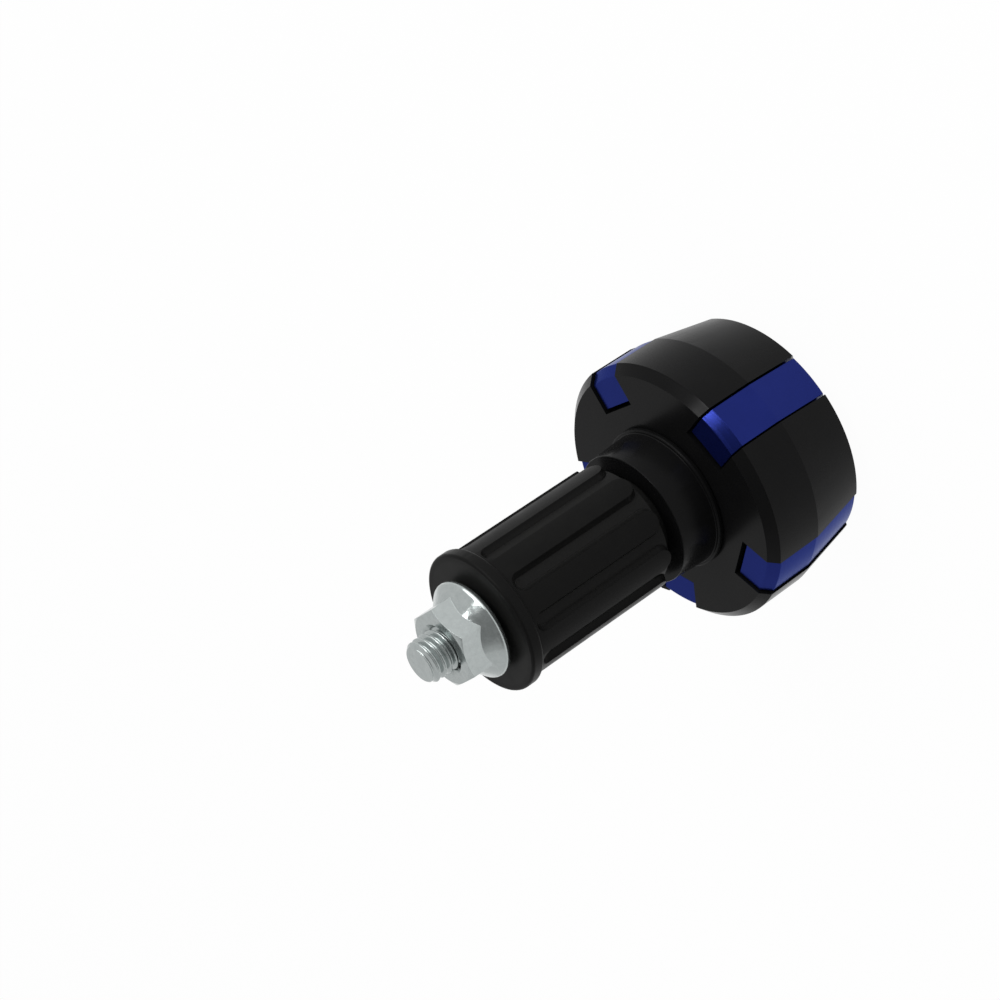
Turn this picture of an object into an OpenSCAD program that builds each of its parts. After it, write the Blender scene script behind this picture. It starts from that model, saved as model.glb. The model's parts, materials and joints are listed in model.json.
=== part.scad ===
// Bar end weight for a handlebar. A five-armed core sits in a cover with five claws,
// and a cap screw carries a collar, a fluted rubber expander and a flange nut behind it.
// The weight stands on its front face at z = 0, and +Z runs along the screw to the nut.

/* [Head] */
// Length of the head, from its front face to its rear face
head_l = 20; // [18:0.5:26]
// Largest diameter of the head
head_d = 38.5; // [37:0.5:46]
// Diameter of the flat front face
face_d = 28.4; // [27.6:0.2:31]
// Diameter at which the front bevel meets the cone
shoulder_d = 35; // [32:0.5:36.5]
// Depth of the front bevel
shoulder_z = 2.1; // [1.2:0.1:4]
// Distance from the front face to the ridge where the cone ends
ridge_z = 11.6; // [7:0.2:14]
// Width of the bevel round the rear face
rear_bevel = 1.25; // [0.4:0.05:2]

/* [Core] */
// Number of arms on the core, and of claws on the cover
arm_count = 5; // [3:1:6]
// Width of one arm
arm_w = 6.1; // [4:0.1:8]
// Depth of the arms below the outer face of the claws
arm_step = 0.25; // [0.1:0.05:0.6]
// Depth of the arm tails below the rear face of the cover
tail_step = 0.4; // [0.2:0.1:1]
// Radial gap between an arm tail and the floor of its notch
tail_gap = 0.5; // [0.2:0.1:1]
// Diameter of the boss that joins the arms
boss_d = 26.2; // [24:0.2:27]
// Chamfer round the front edge of the boss
boss_edge = 0.3; // [0.1:0.1:0.6]

/* [Dish] */
// Diameter of the dish at the front face
dish_d = 19.7; // [17:0.1:22]
// Diameter of the well round the screw head
well_d = 12; // [11:0.2:14]
// Depth of the seat under the screw head
seat_z = 8.8; // [8:0.2:12]

/* [Cover] */
// Thickness of the disc that joins the claws
disc_t = 3; // [2:0.5:5]
// Clearance between the claws and the sides of the arms
claw_gap = 0.25; // [0.2:0.05:0.6]
// Diameter of the bore inside the claws
claw_bore_d = 28; // [27.4:0.1:28.4]
// Diameter across the floors of the notches in the disc
notch_d = 26.6; // [25:0.2:27.4]
// Radius on the inner corners of a claw
claw_corner_r = 1; // [0.5:0.1:1.6]

/* [Collar] */
// Diameter of the flange that the end of the bar meets
collar_flange_d = 20.8; // [20.4:0.2:24]
// Thickness of the flange
collar_flange_t = 0.9; // [0.7:0.1:2]
// Diameter of the spigot beside the flange
spigot_d = 19.8; // [18:0.1:20]
// Diameter of the spigot at its end
spigot_tip_d = 19.1; // [17.8:0.1:19.8]
// Length of the collar, with its flange
collar_l = 6.6; // [5:0.1:12]
// Diameter of the recess that the neck of the expander seats in
recess_d = 13.4; // [13.2:0.2:16]
// Depth of the recess
recess_depth = 3.5; // [2:0.1:4]
// Chamfer on the edges of the flange
collar_edge = 0.2; // [0.1:0.05:0.3]

/* [Expander] */
// Diameter of the neck that seats in the collar
neck_d = 13; // [10:0.5:13]
// Length of the neck that shows between the collar and the ribs
neck_show = 1.8; // [1:0.1:4]
// Length of the ribbed body, from the rib ends to the end flange
rib_l = 23.4; // [14:0.1:35]
// Number of ribs
rib_count = 10; // [6:1:12]
// Diameter over the ribs
rib_d = 18.8; // [18.2:0.1:19.6]
// Width of a groove at its mouth
groove_w = 2.8; // [2.4:0.1:3.4]
// Width of a groove at its floor
groove_floor_w = 1.5; // [1:0.1:2]
// Depth of a groove
groove_depth = 0.9; // [0.5:0.1:1.2]
// Distance from the round end of a groove to the end flange
groove_stop = 0.5; // [0.4:0.1:2]
// Diameter of the end flange
expander_flange_d = 20; // [19.6:0.1:21]
// Thickness of the end flange
expander_flange_t = 1.9; // [1.6:0.1:4]
// Radius on the edges of the end flange
expander_edge_r = 0.4; // [0.2:0.1:0.7]

/* [Screw and nut] */
// Nominal diameter of the screw
screw_d = 6; // [5:0.5:6]
// Length of the screw under its head
screw_l = 55; // [52:1:80]
// Diameter of the screw head
screw_head_d = 10; // [9:0.5:10.5]
// Height of the screw head
screw_head_h = 6; // [5:0.5:7]
// Width across the flats of the hexagon socket
socket_af = 5; // [4:0.5:5]
// Depth of the hexagon socket
socket_depth = 3; // [2:0.5:4]
// Chamfer on the end of the screw
tip_chamfer = 0.65; // [0.3:0.05:1]
// Radial clearance of the screw in the pieces that it passes through
screw_clear = 0.3; // [0.1:0.05:0.5]
// Width of the nut across its flats
nut_af = 10; // [9:0.5:11]
// Gap between the end flange and the nut, which is not drawn up
nut_slack = 0.7; // [0.1:0.1:0.8]
// Height of the nut, with its flange
nut_h = 5.7; // [5:0.1:7]
// Diameter of the nut flange
nut_flange_d = 13.9; // [13:0.1:16]
// Thickness of the round rim of the nut flange
nut_rim_t = 1.4; // [0.8:0.1:1.6]
// Height of the cone between the rim and the flats
nut_cone_h = 1.5; // [0.8:0.1:1.8]
// Countersink of the nut bore at its outer face
nut_sink = 0.6; // [0.3:0.1:0.9]
// Radial clearance between the nut and the screw thread
thread_clear = 0.05; // [0.02:0.01:0.1]

/* [Hidden] */
$fn = 96;
// Overrun of a cut past the face that it opens
cut = 1;
// Turn of the socket and of the nut about the screw
socket_turn = 12;
nut_turn = 0;
// Swell of the round ends of the ribs and grooves beyond their sides
end_flare = 0.04;
blue = [0.10, 0.13, 0.48];
black = [0.07, 0.07, 0.08];
rubber = [0.13, 0.13, 0.13];
zinc = [0.72, 0.74, 0.74];

arm_pitch = 360 / arm_count;
arm_phase = arm_pitch / 2;
slot_w = arm_w + 2 * claw_gap;
disc_z = head_l - disc_t;
tail_z = head_l - tail_step;
tail_in_r = notch_d / 2 + tail_gap;
through_d = screw_d + 2 * screw_clear;

collar_end_z = head_l + collar_l;
neck_z = collar_end_z - recess_depth;
rib_z = collar_end_z + neck_show;
flange_z = rib_z + rib_l;
nut_z = flange_z + expander_flange_t + nut_slack;

rib_pitch = 360 / rib_count;
groove_floor_r = rib_d / 2 - groove_depth;
groove_sink = 0.15 * groove_depth;
rib_w = 2 * rib_d / 2 * sin(rib_pitch / 2) - groove_w;
rib_foot_w = 2 * groove_floor_r * sin(rib_pitch / 2) - groove_floor_w;

// Copies the children round the axis
module around(count, start = 0) {
  for (i = [0 : count - 1]) rotate(start + i * 360 / count) children();
}

// Turned outline of the head, taken in by inset and ended at rear_z
module head_outline(inset, rear_z) {
  rotate_extrude() polygon([
    [0, 0],
    [face_d / 2 - inset, 0],
    [shoulder_d / 2 - inset, shoulder_z],
    [head_d / 2 - inset, ridge_z],
    [head_d / 2 - inset, rear_z - rear_bevel],
    [head_d / 2 - inset - rear_bevel, rear_z],
    [0, rear_z],
  ]);
}

// Radial bar of the given width that starts at inner_r and passes the head's outline
module spoke(width, inner_r) {
  translate([inner_r, -width / 2]) square([head_d / 2 + cut - inner_r, width]);
}

module weight_core() color(blue) difference() {
  intersection() {
    head_outline(arm_step, tail_z);
    union() {
      cylinder(d1 = boss_d - 2 * boss_edge, d2 = boss_d, h = boss_edge);
      translate([0, 0, boss_edge]) cylinder(d = boss_d, h = disc_z - boss_edge);
      linear_extrude(disc_z) around(arm_count, arm_phase) spoke(arm_w, well_d / 2 + cut);
      linear_extrude(head_l) around(arm_count, arm_phase) spoke(arm_w, tail_in_r);
    }
  }
  dish_depth = (dish_d - well_d) / 2;
  translate([0, 0, -cut]) cylinder(d1 = dish_d + 2 * cut, d2 = well_d, h = dish_depth + cut);
  cylinder(d = well_d, h = seat_z);
  cylinder(d = through_d, h = head_l);
}

// Plan of what rounds the corner between a claw's side and the bore inside the claws
module corner_cutter() {
  r = claw_corner_r;
  centre_y = slot_w / 2 + r;
  centre_r = claw_bore_d / 2 + r;
  centre_x = sqrt(centre_r * centre_r - centre_y * centre_y);
  touch = claw_bore_d / 2 / centre_r;
  difference() {
    polygon([
      [centre_x, centre_y],
      [touch * centre_x, touch * centre_y],
      [touch * centre_x - r, slot_w / 2 - r],
      [centre_x, slot_w / 2 - r],
    ]);
    translate([centre_x, centre_y]) circle(r);
  }
}

// Plan of the room for one arm between two claws
module arm_room() {
  spoke(slot_w, notch_d / 2);
  corner_cutter();
  mirror([0, 1]) corner_cutter();
}

module claw_cover() color(black) difference() {
  head_outline(0, head_l);
  translate([0, 0, -cut]) cylinder(d = claw_bore_d, h = disc_z + cut);
  translate([0, 0, -cut]) linear_extrude(disc_z + cut) around(arm_count, arm_phase) arm_room();
  linear_extrude(head_l + cut) around(arm_count, arm_phase) spoke(slot_w, notch_d / 2);
  cylinder(d = through_d, h = head_l + cut);
}

module collar() color(black) translate([0, 0, head_l]) rotate_extrude() polygon([
  [through_d / 2, 0],
  [collar_flange_d / 2 - collar_edge, 0],
  [collar_flange_d / 2, collar_edge],
  [collar_flange_d / 2, collar_flange_t - collar_edge],
  [collar_flange_d / 2 - collar_edge / 2, collar_flange_t],
  [spigot_d / 2, collar_flange_t],
  [spigot_tip_d / 2, collar_l],
  [recess_d / 2, collar_l],
  [recess_d / 2, collar_l - recess_depth],
  [through_d / 2, collar_l - recess_depth],
]);

// Half the width of a sloping-sided bar at a height over the groove floor
function half_w(floor_w, mouth_w, height) =
  floor_w / 2 + (mouth_w - floor_w) / 2 * height / groove_depth;

// Bar with sloping sides along z, floor_w wide at the groove floor and mouth_w at the rib tops
module sloped_bar(floor_w, mouth_w, length) {
  low = -groove_sink;
  high = groove_depth + cut;
  linear_extrude(length) polygon([
    [groove_floor_r + low, -half_w(floor_w, mouth_w, low)],
    [groove_floor_r + high, -half_w(floor_w, mouth_w, high)],
    [groove_floor_r + high, half_w(floor_w, mouth_w, high)],
    [groove_floor_r + low, half_w(floor_w, mouth_w, low)],
  ]);
}

// Round end of a rib or of a groove, with the same slope as its sides
module sloped_end(floor_w, mouth_w) {
  low = -groove_sink;
  high = groove_depth + cut;
  translate([groove_floor_r + low, 0, 0]) rotate([0, 90, 0]) cylinder(
    r1 = half_w(floor_w, mouth_w, low) + end_flare,
    r2 = half_w(floor_w, mouth_w, high) + end_flare,
    h = high - low
  );
}

// One groove, open towards the collar and round at the flange
module groove(from_z) {
  end_z = rib_l - groove_stop - groove_w / 2;
  translate([0, 0, from_z]) sloped_bar(groove_floor_w, groove_w, end_z - from_z);
  translate([0, 0, end_z]) sloped_end(groove_floor_w, groove_w);
}

module rubber_expander() color(rubber) difference() {
  rib_end = rib_foot_w / 2;
  union() {
    translate([0, 0, neck_z]) cylinder(d = neck_d, h = rib_z - neck_z);
    translate([0, 0, rib_z]) {
      cylinder(r = groove_floor_r, h = rib_l);
      intersection() {
        cylinder(d = rib_d, h = rib_l);
        translate([0, 0, rib_end]) around(rib_count, rib_pitch / 2)
          sloped_end(rib_foot_w, rib_w);
      }
      difference() {
        translate([0, 0, rib_end]) cylinder(d = rib_d, h = rib_l - rib_end);
        around(rib_count) groove(rib_end - cut);
      }
    }
    translate([0, 0, flange_z]) rotate_extrude() end_flange_section();
  }
  translate([0, 0, neck_z - cut]) cylinder(d = through_d, h = nut_z - neck_z + 2 * cut);
}

// Half section of the end flange with round edges
module end_flange_section() {
  r = expander_edge_r;
  square([expander_flange_d / 2 - r, expander_flange_t]);
  translate([0, r]) square([expander_flange_d / 2, expander_flange_t - 2 * r]);
  for (y = [r, expander_flange_t - r]) translate([expander_flange_d / 2 - r, y]) circle(r);
}

module cap_screw() color(zinc) {
  head_edge = 0.5;
  socket_d = socket_af / cos(30);
  socket_edge = 0.4;
  translate([0, 0, seat_z - screw_head_h]) difference() {
    union() {
      cylinder(d1 = screw_head_d - 2 * head_edge, d2 = screw_head_d, h = head_edge);
      translate([0, 0, head_edge]) cylinder(d = screw_head_d, h = screw_head_h - head_edge);
      cylinder(d = screw_d, h = screw_head_h + screw_l - tip_chamfer);
      translate([0, 0, screw_head_h + screw_l - tip_chamfer])
        cylinder(d1 = screw_d, d2 = screw_d - 2 * tip_chamfer, h = tip_chamfer);
    }
    rotate(socket_turn) translate([0, 0, -cut]) cylinder(d = socket_d, h = socket_depth + cut, $fn = 6);
    translate([0, 0, -cut])
      cylinder(d1 = socket_d + 2 * cut + socket_edge, d2 = socket_af, h = cut + socket_edge);
    translate([0, 0, socket_depth - cut / 10]) cylinder(d1 = socket_af, d2 = 0, h = socket_af / 4);
  }
}

// Half section of the nut flange: a round rim, and a cone that rises from it to the flats
module nut_flange_section() {
  r = nut_rim_t / 2;
  rim_x = nut_flange_d / 2 - r;
  top_x = nut_af / 2;
  top_y = nut_rim_t + nut_cone_h;
  tangent = atan2(top_y - r, top_x - rim_x) - acos(r / norm([top_x - rim_x, top_y - r]));
  translate([rim_x, r]) circle(r);
  polygon([
    [0, 0],
    [rim_x, 0],
    [rim_x + r * cos(tangent), r + r * sin(tangent)],
    [top_x, top_y],
    [0, top_y],
  ]);
}

module flange_nut() color(zinc) translate([0, 0, nut_z]) difference() {
  corner_d = nut_af / cos(30);
  corner_drop = (corner_d - nut_af) / 2 * tan(30);
  bore_d = screw_d + 2 * thread_clear;
  union() {
    rotate_extrude() nut_flange_section();
    intersection() {
      rotate(nut_turn) cylinder(d = corner_d, h = nut_h, $fn = 6);
      union() {
        cylinder(d = corner_d + 2 * cut, h = nut_h - corner_drop);
        translate([0, 0, nut_h - corner_drop]) cylinder(d1 = corner_d, d2 = nut_af, h = corner_drop);
      }
    }
  }
  translate([0, 0, -cut]) cylinder(d = bore_d, h = nut_h + 2 * cut);
  translate([0, 0, nut_h - nut_sink])
    cylinder(d1 = bore_d, d2 = bore_d + 2 * (nut_sink + cut), h = nut_sink + cut);
}

weight_core();
claw_cover();
collar();
rubber_expander();
cap_screw();
flange_nut();
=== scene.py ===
"""Looks of a bar end weight: turned blue and black aluminium, ribbed rubber and zinc-plated steel."""
import json
import math

import bmesh
import bpy
from mathutils import Matrix, Vector


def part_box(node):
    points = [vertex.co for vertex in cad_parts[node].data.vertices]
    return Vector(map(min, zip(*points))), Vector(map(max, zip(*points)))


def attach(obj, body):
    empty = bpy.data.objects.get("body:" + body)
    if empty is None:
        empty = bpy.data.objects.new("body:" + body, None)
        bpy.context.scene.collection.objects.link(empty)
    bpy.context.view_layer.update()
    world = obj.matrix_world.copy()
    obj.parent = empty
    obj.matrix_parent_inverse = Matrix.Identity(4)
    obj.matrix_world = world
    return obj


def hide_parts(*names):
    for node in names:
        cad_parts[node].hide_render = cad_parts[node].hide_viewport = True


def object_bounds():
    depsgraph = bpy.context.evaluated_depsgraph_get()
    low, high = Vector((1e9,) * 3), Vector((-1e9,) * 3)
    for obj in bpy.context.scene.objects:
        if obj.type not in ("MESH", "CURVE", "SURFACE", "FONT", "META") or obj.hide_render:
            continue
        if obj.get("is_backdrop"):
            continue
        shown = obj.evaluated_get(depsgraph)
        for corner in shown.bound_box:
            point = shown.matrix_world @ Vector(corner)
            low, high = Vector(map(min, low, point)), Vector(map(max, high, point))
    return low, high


MM = 0.001

# Pose of the weight in front of the photograph's camera: x right, y down, z forward, in millimetres
STEM_AXIS = Vector((-0.7395, 0.4808, -0.4712)).normalized()
FACE_CENTRE = Vector((37.13, -10.15, 316.35))
CLAW_TURN = math.radians(46.5)

# The photograph's camera, with the nearest and farthest things that it sees in metres
FOCAL_PX = 2300
PHOTO_PX = 1000
SENSOR_MM = 36
NEAREST = 0.01
FARTHEST = 10

# Repair of the CAD meshes: points this near are one, and faces that meet this flat are joined
WELD_GAP = 0.002 * MM
FLAT_ANGLE = math.radians(0.6)

# Rounding of the edges of each piece, and the least angle in degrees of an edge that is rounded
EDGE_ROUND = {
    "weight_core": (0.08 * MM, 8),
    "claw_cover": (0.08 * MM, 8),
    "collar": (0.12 * MM, 25),
    "rubber_expander": (0.6 * MM, 25),
    "cap_screw": (0.12 * MM, 25),
    "flange_nut": (0.12 * MM, 25),
}

# Screw thread, M6 coarse, with half its crest and one flank as shares of the pitch
THREAD_R = 3.0 * MM
THREAD_PITCH = 1.0 * MM
THREAD_DEPTH = 0.6 * MM
THREAD_TIP_R = 2.45 * MM
THREAD_HALF_CREST = 0.07
THREAD_FLANK = 0.33
THREAD_AROUND = 72
THREAD_RINGS_PER_PITCH = 16

# Colours of the finishes, most of them mottled between a darker and a lighter one
BLUE = (0.0095, 0.0165, 0.125, 1), (0.0125, 0.0210, 0.155, 1)
BLUE_GLINT = (0.45, 0.5, 0.8, 1)
BLACK = (0.0042, 0.0042, 0.0044, 1), (0.0060, 0.0060, 0.0061, 1)
RIB = (0.0050, 0.0050, 0.0050, 1), (0.0076, 0.0076, 0.0073, 1)
# Lighter rubber in the grooves: painted light that lifts the shade there
GROOVE_PAINTED_LIGHT = (0.011, 0.011, 0.0107, 1)
ZINC = (0.36, 0.395, 0.39, 1), (0.50, 0.535, 0.53, 1)

# Distances from the stem's axis between which the rubber goes from the rib colour to a lighter one,
# painted light that lifts the shade in the grooves
RIB_R = 9.3 * MM
GROOVE_R = 8.8 * MM

# Most of a noise lies between these two values
NOISE_LOW = 0.25
NOISE_HIGH = 0.75

# The mix node names its colour sockets as it names others, so they go by number
MIX_FIRST = 6
MIX_SECOND = 7
MIX_RESULT = 2

# Floor: half its side, its depth below the front face, its paint, and the share of it that is even white
FLOOR_HALF = 4.0
FLOOR_DROP = 0.01 * MM
FLOOR_PAINT = (0.9, 0.9, 0.9, 1)
FLOOR_EVEN = 0.97

# World, and its darker part: its middle as right, up and toward in the photograph, the cosines of
# the angles from there at which it starts and is full, and how bright it is beside the rest
WORLD_PALE = (0.8, 0.8, 0.8, 1)
DARK_MIDDLE = (0, -0.2, 1)
DARK_START = 0.35
DARK_FULL = 0.85
DARK_LEVEL = 0.3

# From the middle of the weight, in metres
LAMP_DISTANCE = 0.5


def photo_basis():
    """Columns are the model's X, Y and Z axes as the photograph's camera sees them."""
    image_up = Vector((0, -1, 0))
    up = (image_up - STEM_AXIS * image_up.dot(STEM_AXIS)).normalized()
    side = STEM_AXIS.cross(up)
    x_axis = up * math.cos(CLAW_TURN) + side * math.sin(CLAW_TURN)
    y_axis = STEM_AXIS.cross(x_axis)
    return Matrix((x_axis, y_axis, STEM_AXIS)).transposed()


def from_photo(right, up, toward):
    """Direction in the model's frame of a direction seen in the photograph."""
    return photo_basis().transposed() @ Vector((right, -up, -toward)).normalized()


def add_camera():
    data = bpy.data.cameras.new("camera")
    data.sensor_width = SENSOR_MM
    data.lens = FOCAL_PX * SENSOR_MM / PHOTO_PX
    data.clip_start = NEAREST
    data.clip_end = FARTHEST
    camera = bpy.data.objects.new("camera", data)
    bpy.context.scene.collection.objects.link(camera)
    place = -(photo_basis().transposed() @ FACE_CENTRE) * MM
    turn = Matrix((from_photo(1, 0, 0), from_photo(0, 1, 0), from_photo(0, 0, 1))).transposed()
    camera.matrix_world = Matrix.Translation(place) @ turn.to_4x4()
    bpy.context.scene.camera = camera


class Nodes:
    """A node tree whose nodes are added and wired by short calls."""

    def __init__(self, tree):
        self.tree = tree

    def add(self, kind, settings=None, **inputs):
        """A new node. An input's name has _ for each space."""
        node = self.tree.nodes.new(kind)
        for key, value in (settings or {}).items():
            setattr(node, key, value)
        self.fill(node, inputs)
        return node

    def fill(self, node, inputs):
        for key, value in inputs.items():
            self.feed(node.inputs[key.replace("_", " ")], value)

    def feed(self, socket, value):
        """Wires another node's output to the socket, or sets it to a constant."""
        if isinstance(value, bpy.types.NodeSocket):
            self.tree.links.new(value, socket)
        else:
            socket.default_value = value

    def math(self, operation, first, second):
        node = self.add("ShaderNodeMath", {"operation": operation})
        self.feed(node.inputs[0], first)
        self.feed(node.inputs[1], second)
        return node.outputs[0]

    def ramp(self, value, start, end, low=0, high=1, shape="LINEAR"):
        """Goes from low to high as the value goes from start to end, and is held beyond them."""
        node = self.add(
            "ShaderNodeMapRange", {"interpolation_type": shape},
            Value=value, From_Min=start, From_Max=end, To_Min=low, To_Max=high,
        )
        return node.outputs["Result"]


class Shader(Nodes):
    """A material, with the patterns that its finish is made of."""

    def __init__(self, name):
        self.material = bpy.data.materials.new(name)
        self.material.use_nodes = True
        super().__init__(self.material.node_tree)
        self.surface = self.tree.nodes["Principled BSDF"]

    def paint(self, **inputs):
        """Sets or wires inputs of the surface. A name has _ for each space."""
        self.fill(self.surface, inputs)

    def place(self):
        return self.add("ShaderNodeTexCoord").outputs["Object"]

    def lathe(self):
        """Coordinates that stay the same round the stem, so a noise on them makes turned lines."""
        parts = self.add("ShaderNodeSeparateXYZ", Vector=self.place())
        flat = self.add("ShaderNodeCombineXYZ", X=parts.outputs["X"], Y=parts.outputs["Y"])
        radius = self.add("ShaderNodeVectorMath", {"operation": "LENGTH"})
        self.feed(radius.inputs[0], flat.outputs[0])
        turned = self.add("ShaderNodeCombineXYZ", X=radius.outputs["Value"], Y=parts.outputs["Z"])
        return turned.outputs[0]

    def below_radius(self, outer, inner):
        """0 outside one radius from the stem, rising to 1 at a smaller one."""
        parts = self.add("ShaderNodeSeparateXYZ", Vector=self.lathe())
        return self.ramp(parts.outputs["X"], outer, inner)

    def noise(self, vector, scale, detail=3, roughness=0.5):
        node = self.add(
            "ShaderNodeTexNoise", Vector=vector, Scale=scale, Detail=detail, Roughness=roughness
        )
        return node.outputs["Fac"]

    def spread(self, noise, low, high):
        """The noise, spread over low to high."""
        return self.ramp(noise, NOISE_LOW, NOISE_HIGH, low, high)

    def blend(self, share, first, second):
        """From the first colour to the second as the share goes from 0 to 1."""
        node = self.add("ShaderNodeMix", {"data_type": "RGBA"}, Factor=share)
        self.feed(node.inputs[MIX_FIRST], first)
        self.feed(node.inputs[MIX_SECOND], second)
        return node.outputs[MIX_RESULT]

    def bump(self, height, strength, distance):
        node = self.add("ShaderNodeBump", Height=height, Strength=strength, Distance=distance)
        return node.outputs["Normal"]

    def round_the_stem(self):
        """Tangent that stretches highlights across the turned lines."""
        node = self.add("ShaderNodeTangent", {"direction_type": "RADIAL", "axis": "Z"})
        return node.outputs[0]


def blue_anodised():
    shader = Shader("blue_anodised")
    lines = shader.noise(shader.lathe(), scale=5200, detail=2, roughness=0.6)
    cloud = shader.noise(shader.place(), scale=260)
    shader.paint(
        Base_Color=shader.blend(cloud, *BLUE),
        Metallic=0.78,
        Specular_IOR_Level=0.3,
        Specular_Tint=BLUE_GLINT,
        Roughness=shader.spread(lines, low=0.16, high=0.28),
        Normal=shader.bump(lines, strength=0.5, distance=0.025 * MM),
        Tangent=shader.round_the_stem(),
        Anisotropic=0.45,
    )
    return shader.material


def black_anodised():
    shader = Shader("black_anodised")
    lines = shader.noise(shader.lathe(), scale=4200, detail=2, roughness=0.6)
    cloud = shader.noise(shader.place(), scale=300)
    shader.paint(
        Base_Color=shader.blend(cloud, *BLACK),
        Specular_IOR_Level=0.068,
        Roughness=shader.spread(lines, low=0.18, high=0.27),
        Normal=shader.bump(lines, strength=0.15, distance=0.01 * MM),
    )
    return shader.material


def rubber():
    shader = Shader("rubber")
    grain = shader.noise(shader.place(), scale=9000, detail=4, roughness=0.6)
    cloud = shader.noise(shader.place(), scale=420)
    ribs = shader.blend(cloud, *RIB)
    shader.paint(
        # Grooves painted lighter than the ribs: painted light that lifts the shade in them
        Base_Color=shader.blend(shader.below_radius(RIB_R, GROOVE_R), ribs, GROOVE_PAINTED_LIGHT),
        Specular_IOR_Level=0.05,
        Roughness=shader.spread(cloud, low=0.30, high=0.42),
        Normal=shader.bump(grain, strength=0.3, distance=0.02 * MM),
    )
    return shader.material


def zinc():
    shader = Shader("zinc")
    grain = shader.noise(shader.place(), scale=1400, detail=4, roughness=0.6)
    shader.paint(
        Base_Color=shader.blend(grain, *ZINC),
        Metallic=0.88,
        Specular_IOR_Level=0.25,
        Roughness=shader.spread(grain, low=0.12, high=0.24),
        Normal=shader.bump(grain, strength=0.6, distance=0.03 * MM),
    )
    return shader.material


def link_piece(name, mesh, material, node):
    """Adds a mesh that stands for a CAD node and takes the node's place."""
    piece = bpy.data.objects.new(name, mesh)
    bpy.context.scene.collection.objects.link(piece)
    mesh.materials.clear()
    mesh.materials.append(material)
    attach(piece, "root")
    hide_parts(node)
    return piece


def clean_mesh(node, angle):
    """A copy of a CAD node's mesh with whole flat faces, its edges over the angle marked for rounding."""
    mesh = node.data.copy()
    work = bmesh.new()
    work.from_mesh(mesh)
    bmesh.ops.remove_doubles(work, verts=work.verts, dist=WELD_GAP)
    bmesh.ops.dissolve_limit(work, angle_limit=FLAT_ANGLE, verts=work.verts, edges=work.edges)
    weight = work.edges.layers.float.new("bevel_weight_edge")
    for edge in work.edges:
        if edge.calc_face_angle(0) > math.radians(angle):
            edge[weight] = 1
    work.to_mesh(mesh)
    work.free()
    return mesh


def round_edges(piece, width):
    """Small rounded edges that catch the light."""
    bevel = piece.modifiers.new("edges", "BEVEL")
    bevel.width = width
    bevel.segments = 3
    bevel.limit_method = "WEIGHT"
    bevel.miter_outer = "MITER_ARC"
    for face in piece.data.polygons:
        face.use_smooth = True
    smooth = piece.modifiers.new("normals", "WEIGHTED_NORMAL")
    smooth.weight = 80


def thread_radius(angle, height, end):
    """Outside of a right-hand thread, taken down by a chamfer at its end."""
    phase = (height / THREAD_PITCH - angle / math.tau) % 1
    off_crest = abs(phase - 0.5) - THREAD_HALF_CREST
    depth = THREAD_DEPTH * min(max(off_crest / THREAD_FLANK, 0), 1)
    chamfer = THREAD_TIP_R + (end - height)
    return min(THREAD_R - depth, chamfer)


def add_thread(work, start, end):
    """Threaded rod from start to end along the stem, closed by flat ends."""
    rings = round((end - start) / THREAD_PITCH * THREAD_RINGS_PER_PITCH)
    rows = []
    for i in range(rings + 1):
        height = start + (end - start) * i / rings
        row = []
        for j in range(THREAD_AROUND):
            angle = math.tau * j / THREAD_AROUND
            radius = thread_radius(angle, height, end)
            row.append(work.verts.new((radius * math.cos(angle), radius * math.sin(angle), height)))
        rows.append(row)
    for low, high in zip(rows, rows[1:]):
        for j in range(THREAD_AROUND):
            k = (j + 1) % THREAD_AROUND
            work.faces.new((low[j], low[k], high[k], high[j]))
    work.faces.new(rows[0][::-1])
    work.faces.new(rows[-1])


def threaded_screw(mesh, nut_low, nut_high):
    """Cuts the plain end off the screw inside the nut, and puts a thread there."""
    start = (nut_low + nut_high) / 2
    end = max(vertex.co.z for vertex in mesh.vertices)
    work = bmesh.new()
    work.from_mesh(mesh)
    everything = work.verts[:] + work.edges[:] + work.faces[:]
    cut = bmesh.ops.bisect_plane(
        work, geom=everything, plane_co=(0, 0, start), plane_no=(0, 0, 1), clear_outer=True
    )
    rim = [item for item in cut["geom_cut"] if isinstance(item, bmesh.types.BMEdge)]
    bmesh.ops.edgeloop_fill(work, edges=rim)
    add_thread(work, start, end)
    work.to_mesh(mesh)
    work.free()


def dress(frame, materials):
    """Stands a finished piece in for each CAD node."""
    slots = {part["node"]: part["material_slot"] for part in frame["record"]["subparts"]}
    for name, node in frame["nodes"].items():
        slot = slots[name]
        width, angle = EDGE_ROUND[name]
        mesh = clean_mesh(node, angle)
        if name == "cap_screw":
            nut_low, nut_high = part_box("flange_nut")
            threaded_screw(mesh, nut_low.z, nut_high.z)
        piece = link_piece(name + "_finish", mesh, materials[slot], name)
        round_edges(piece, width)


def floor_material():
    """Plain paint to the light, and to the camera and in reflections almost even white."""
    shader = Shader("floor")
    shader.paint(Base_Color=FLOOR_PAINT, Roughness=0.9, Specular_IOR_Level=0.1)
    path = shader.add("ShaderNodeLightPath")
    seen = shader.math("MAXIMUM", path.outputs["Is Camera Ray"], path.outputs["Is Glossy Ray"])
    seen = shader.math("MAXIMUM", seen, path.outputs["Is Transmission Ray"])
    glow = shader.add("ShaderNodeEmission")
    mix = shader.add("ShaderNodeMixShader")
    shader.feed(mix.inputs[0], shader.math("MULTIPLY", seen, FLOOR_EVEN))
    shader.feed(mix.inputs[1], shader.surface.outputs[0])
    shader.feed(mix.inputs[2], glow.outputs[0])
    shader.feed(shader.tree.nodes["Material Output"].inputs["Surface"], mix.outputs[0])
    return shader.material


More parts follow.
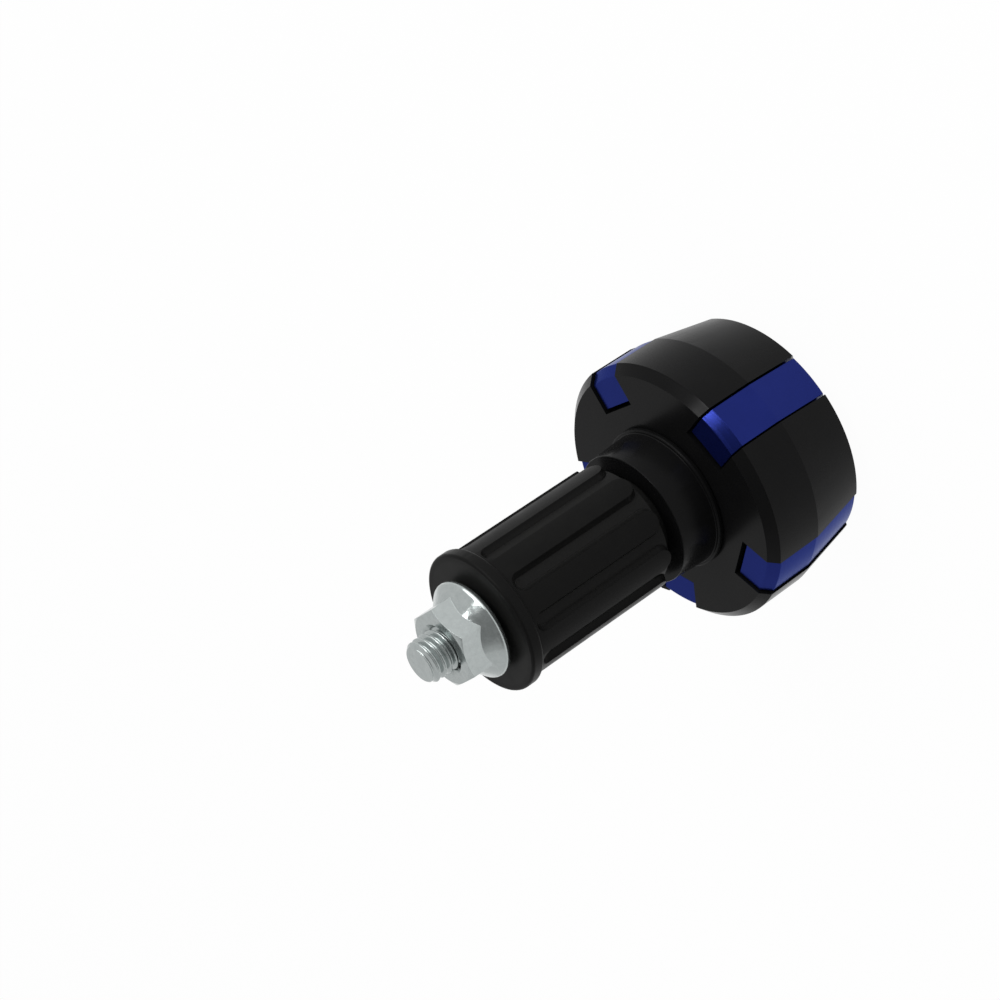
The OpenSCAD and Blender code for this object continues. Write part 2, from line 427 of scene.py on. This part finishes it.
def add_floor():
    mesh = bpy.data.meshes.new("floor")
    work = bmesh.new()
    bmesh.ops.create_grid(work, x_segments=1, y_segments=1, size=FLOOR_HALF)
    work.to_mesh(mesh)
    work.free()
    mesh.materials.append(floor_material())
    floor = bpy.data.objects.new("floor", mesh)
    floor.location.z = -FLOOR_DROP
    bpy.context.scene.collection.objects.link(floor)
    floor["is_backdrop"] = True


def add_world():
    """Pale all round, with a darker part of the studio behind the camera."""
    world = bpy.data.worlds.new("studio")
    bpy.context.scene.world = world
    world.use_nodes = True
    world.node_tree.nodes.clear()
    nodes = Nodes(world.node_tree)
    facing = nodes.add("ShaderNodeVectorMath", {"operation": "DOT_PRODUCT"})
    nodes.feed(facing.inputs[0], nodes.add("ShaderNodeTexCoord").outputs["Generated"])
    nodes.feed(facing.inputs[1], from_photo(*DARK_MIDDLE))
    level = nodes.ramp(
        facing.outputs["Value"], DARK_START, DARK_FULL, low=1, high=DARK_LEVEL, shape="SMOOTHSTEP"
    )
    pale = nodes.add("ShaderNodeBackground", Color=WORLD_PALE, Strength=level)
    nodes.add("ShaderNodeOutputWorld", Surface=pale.outputs[0])


def add_softbox(name, direction, size, power):
    """Round lamp that shines on the middle of the weight."""
    data = bpy.data.lights.new(name, "AREA")
    data.shape = "DISK"
    data.size = size
    data.energy = power
    lamp = bpy.data.objects.new(name, data)
    bpy.context.scene.collection.objects.link(lamp)
    low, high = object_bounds()
    centre = (Vector(low) + Vector(high)) / 2
    lamp.location = centre + direction * LAMP_DISTANCE
    lamp.rotation_euler = (-direction).to_track_quat("-Z", "Y").to_euler()
    lamp.visible_camera = False


def add_lights():
    add_softbox("key", from_photo(right=-0.5, up=1.0, toward=0.85), size=0.6, power=2.0)
    add_softbox("edge", from_photo(right=-0.665, up=0.15, toward=0.72), size=0.12, power=0.34)


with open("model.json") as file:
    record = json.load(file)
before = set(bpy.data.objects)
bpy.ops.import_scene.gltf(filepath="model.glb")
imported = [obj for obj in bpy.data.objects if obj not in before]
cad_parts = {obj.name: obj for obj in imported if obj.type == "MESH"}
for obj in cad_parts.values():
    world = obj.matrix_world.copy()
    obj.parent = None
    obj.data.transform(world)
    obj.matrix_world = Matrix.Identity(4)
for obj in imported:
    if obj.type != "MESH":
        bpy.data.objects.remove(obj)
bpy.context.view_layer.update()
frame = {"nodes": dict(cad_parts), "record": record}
add_camera()
materials = {
    "blue_anodised": blue_anodised(),
    "black_anodised": black_anodised(),
    "rubber": rubber(),
    "zinc": zinc(),
}
dress(frame, materials)
add_floor()
add_world()
add_lights()
bpy.context.scene.view_settings.view_transform = "Standard"
